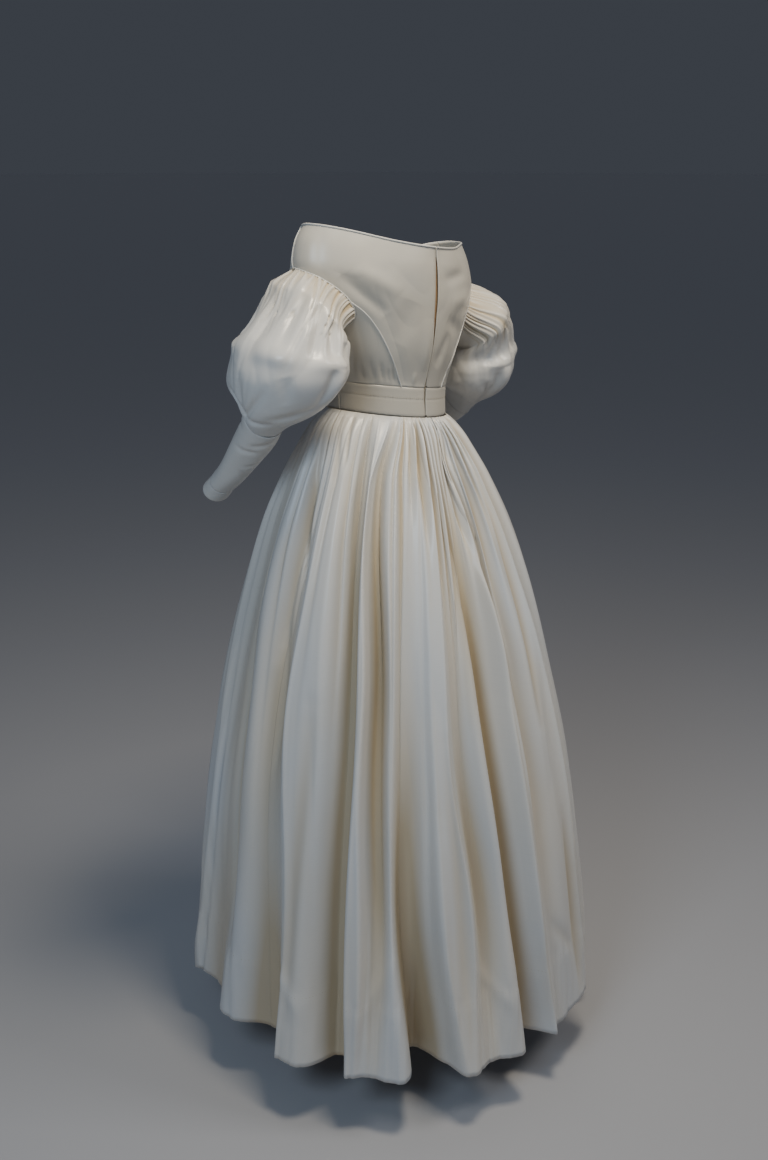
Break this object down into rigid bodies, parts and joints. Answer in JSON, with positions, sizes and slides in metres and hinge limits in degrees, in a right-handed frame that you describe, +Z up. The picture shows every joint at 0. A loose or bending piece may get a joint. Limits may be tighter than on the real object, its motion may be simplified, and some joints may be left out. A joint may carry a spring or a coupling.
{
  "type": "wedding dress",
  "caption": "Hollow floor-length gown as worn: boat neck, full gathered upper sleeves over narrow cuffs, fitted back-closing bodice, waistband and a pleated bell skirt.",
  "frame": {"origin": "midway between the wearer's shoulder points, where the wearer carries the dress", "axes": "+X towards the wearer's left, +Y towards the back, +Z up"},
  "size_m": [0.7317, 0.7414, 1.4027],
  "materials": {
    "silk": "ivory silk with a soft sheen, backed with plain cotton",
    "tape": "faded brown cotton tape behind the back opening"
  },
  "bodies": {
    "root": {"bodice_back_left": "silk", "bodice_back_right": "silk", "bodice_side_back_left": "silk", "bodice_side_back_right": "silk", "bodice_front": "silk", "neck_binding_back_left": "silk", "neck_binding_back_right": "silk", "neck_binding_front": "silk", "back_underlap": "tape", "waistband_back_left": "silk", "waistband_back_right": "silk", "waistband_front": "silk", "skirt_left_side_back": "silk", "skirt_back": "silk", "skirt_right_side_back": "silk", "skirt_right_side_front": "silk", "skirt_front": "silk", "skirt_left_side_front": "silk", "sleeve_puff_left": "silk", "sleeve_puff_right": "silk", "sleeve_lower_left": "silk", "sleeve_lower_right": "silk", "cuff_left": "silk", "cuff_right": "silk"}
  },
  "joints": []
}
